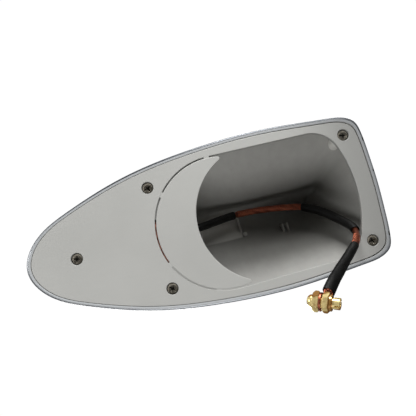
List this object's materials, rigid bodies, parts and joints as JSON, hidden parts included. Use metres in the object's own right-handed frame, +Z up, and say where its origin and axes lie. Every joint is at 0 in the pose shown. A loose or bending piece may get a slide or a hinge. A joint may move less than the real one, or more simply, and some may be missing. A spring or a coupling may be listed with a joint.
{
  "type": "shark fin roof antenna cover",
  "caption": "Fin-shaped roof antenna cover with a screwed base plate, a crescent knock-out beside its opening, and an inner lead with a clamped adapter.",
  "frame": {"origin": "on the flat underside, on the middle plane, midway between the nose screw and the line of the middle pair of screws", "axes": "+X towards the nose, +Z up into the fin, the underside faces -Z"},
  "size_m": [0.1651, 0.0824, 0.1104],
  "materials": {
    "shell_paint": "silver grey gloss paint on the outside, bare grey moulding inside",
    "base_plastic": "satin light grey moulding",
    "dark_steel": "dull dark zinc",
    "copper_sheet": "bright copper",
    "solder": "dull solder",
    "copper_braid": "stranded bare copper",
    "black_sleeve": "satin black shrink sleeve",
    "gold_brass": "bright gold plate"
  },
  "bodies": {
    "root": {"outer_shell": "shell_paint", "base_plate": "base_plastic", "base_screws": "dark_steel", "antenna_plate": "copper_sheet", "solder_joint": "solder", "lead_conductor": "copper_braid", "sleeve_front": "black_sleeve", "sleeve_middle": "black_sleeve", "sleeve_end": "black_sleeve", "ring_terminal": "copper_braid", "adapter_stud": "gold_brass", "clamp_nut_a": "gold_brass", "clamp_nut_b": "gold_brass"}
  },
  "joints": []
}
